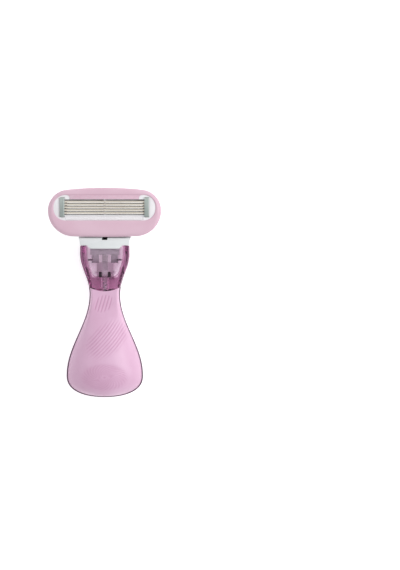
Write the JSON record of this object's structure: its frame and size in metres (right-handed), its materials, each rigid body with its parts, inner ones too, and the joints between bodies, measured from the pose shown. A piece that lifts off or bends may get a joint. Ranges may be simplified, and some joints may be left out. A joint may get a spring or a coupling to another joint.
{
  "type": "cartridge razor",
  "caption": "Short pear-shaped razor with soft grips, a translucent collar and a pivoting multi-blade head that pulls off its dock.",
  "frame": {"origin": "middle of the footprint on the table it lies on", "axes": "+Z the way the blades face, +Y from the handle's butt to the head, +X across the head"},
  "size_m": [0.0454, 0.084, 0.016],
  "materials": {
    "plum_plastic": "translucent, polished",
    "pink_rubber": "satin, fine grooves",
    "mauve_button": "satin",
    "spring_steel": "drawn wire",
    "clear_plastic": "clear",
    "white_yoke": "semi-gloss",
    "white_plastic": "semi-gloss",
    "pink_frame": "matte",
    "lube_strip": "waxy",
    "guard_rubber": "matte, ribbed",
    "blade_steel": "polished edge",
    "support_steel": "rolled",
    "clip_metal": "satin"
  },
  "bodies": {
    "handle": {"handle_core": "plum_plastic", "front_grip": "pink_rubber", "rear_grip": "pink_rubber"},
    "button": {"release_button": "mauve_button", "button_spring": "spring_steel"},
    "pusher": {"plunger": "clear_plastic", "plunger_spring": "spring_steel"},
    "dock": {"interconnect": "white_yoke"},
    "head": {"blade_housing": "white_plastic", "soft_frame": "pink_frame", "cap_strip": "lube_strip", "guard_strip": "guard_rubber", "blade_1": "blade_steel", "blade_2": "blade_steel", "blade_3": "blade_steel", "blade_4": "blade_steel", "blade_5": "blade_steel", "blade_support_1": "support_steel", "blade_support_2": "support_steel", "blade_support_3": "support_steel", "blade_support_4": "support_steel", "blade_support_5": "support_steel", "left_clip": "clip_metal", "right_clip": "clip_metal"}
  },
  "joints": [
    {"name": "head_swing", "type": "hinge", "parent": "dock", "child": "head", "pos_m": [0, 0.026, 0.0094], "axis": [-1, 0, 0], "range_deg": [0, 40], "stiffness_Nm_per_rad": 0.012, "springref_deg": -28.65},
    {"name": "plunger_slide", "type": "slide", "parent": "handle", "child": "pusher", "axis": [0, -1, 0], "range_m": [0, 0.0022], "deforming": ["plunger_spring"]},
    {"name": "button_slide", "type": "slide", "parent": "handle", "child": "button", "axis": [0, 1, 0], "range_m": [0, 0.0032], "stiffness_N_per_m": 300, "springref_m": -0.002, "deforming": ["button_spring"]},
    {"name": "cartridge_dock", "type": "slide", "parent": "handle", "child": "dock", "axis": [0, 1, 0], "range_m": [0, 0.015]}
  ],
  "couplings": [
    {"joint": "plunger_slide", "follows": "head_swing", "m_per_rad": 0.003}
  ]
}
